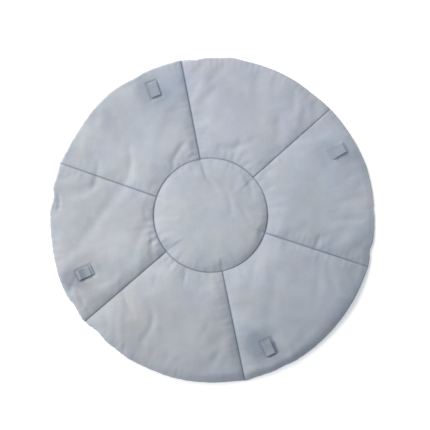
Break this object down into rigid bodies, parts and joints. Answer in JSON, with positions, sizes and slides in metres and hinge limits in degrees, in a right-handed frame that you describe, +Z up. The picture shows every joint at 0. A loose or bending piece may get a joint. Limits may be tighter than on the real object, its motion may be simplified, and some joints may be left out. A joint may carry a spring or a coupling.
{
  "type": "round quilted play gym mat",
  "caption": "Round padded play mat for a baby gym, quilted in wedge panels around a centre disc, with small folded straps near the rim.",
  "frame": {"origin": "centre of the mat's outline, on the surface that it lies on", "axes": "+Z up through the mat's thickness; +Y towards the upper edge of the mat as it is seen from above"},
  "size_m": [0.9956, 0.9984, 0.0247],
  "materials": {
    "cover_cotton": "matte woven cotton, pale blue-grey",
    "strap_cotton": "matte woven cotton, pale blue-grey"
  },
  "bodies": {
    "root": {"padded_mat": "cover_cotton", "strap_upper_left": "strap_cotton", "strap_upper_right": "strap_cotton", "strap_lower_left": "strap_cotton", "strap_lower_right": "strap_cotton"}
  },
  "joints": []
}
